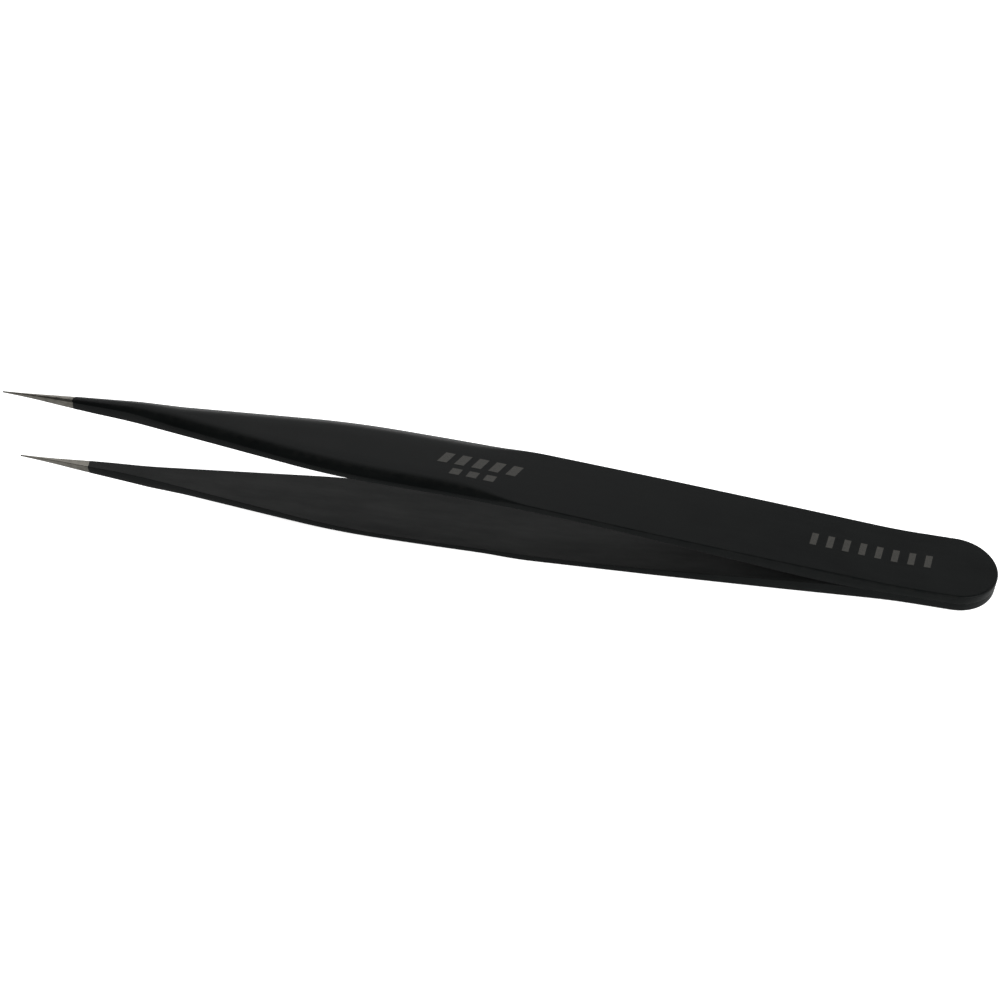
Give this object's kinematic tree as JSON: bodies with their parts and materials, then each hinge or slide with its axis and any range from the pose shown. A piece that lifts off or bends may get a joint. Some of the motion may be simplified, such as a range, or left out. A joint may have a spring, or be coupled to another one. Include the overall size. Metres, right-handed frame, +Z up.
{
  "type": "precision tweezers",
  "caption": "Straight precision tweezers with two sprung steel arms welded at a round tail, a dark coating and bare needle points.",
  "frame": {"origin": "on the surface the tweezers lie on, under the centre of their box", "axes": "+X towards the welded tail, so the points are at -X; +Y across the width; +Z up, the direction in which the arms open. The tweezers lie on the lower arm, so their mid-plane rises 3.7 degrees towards the points."},
  "size_m": [0.1202, 0.0096, 0.0142],
  "materials": {
    "steel": "ground",
    "weld": "as welded",
    "coating": "satin epoxy"
  },
  "bodies": {
    "tail": {"upper_arm_tail": "steel", "lower_arm_tail": "steel", "front_spot_weld": "weld", "rear_spot_weld": "weld", "upper_tail_coating": "coating", "lower_tail_coating": "coating"},
    "upper_arm": {"upper_arm_front": "steel", "upper_arm_coating": "coating"},
    "lower_arm": {"lower_arm_front": "steel", "lower_arm_coating": "coating"}
  },
  "joints": [
    {"name": "upper_arm_flex", "type": "hinge", "parent": "tail", "child": "upper_arm", "pos_m": [0.02714, 0, 0.00505], "axis": [0, -1, 0], "range_deg": [0, 3.4], "stiffness_Nm_per_rad": 1},
    {"name": "lower_arm_flex", "type": "hinge", "parent": "tail", "child": "lower_arm", "pos_m": [0.02691, 0, 0.0015], "axis": [0, 1, 0], "range_deg": [0, 3.4], "stiffness_Nm_per_rad": 1}
  ]
}
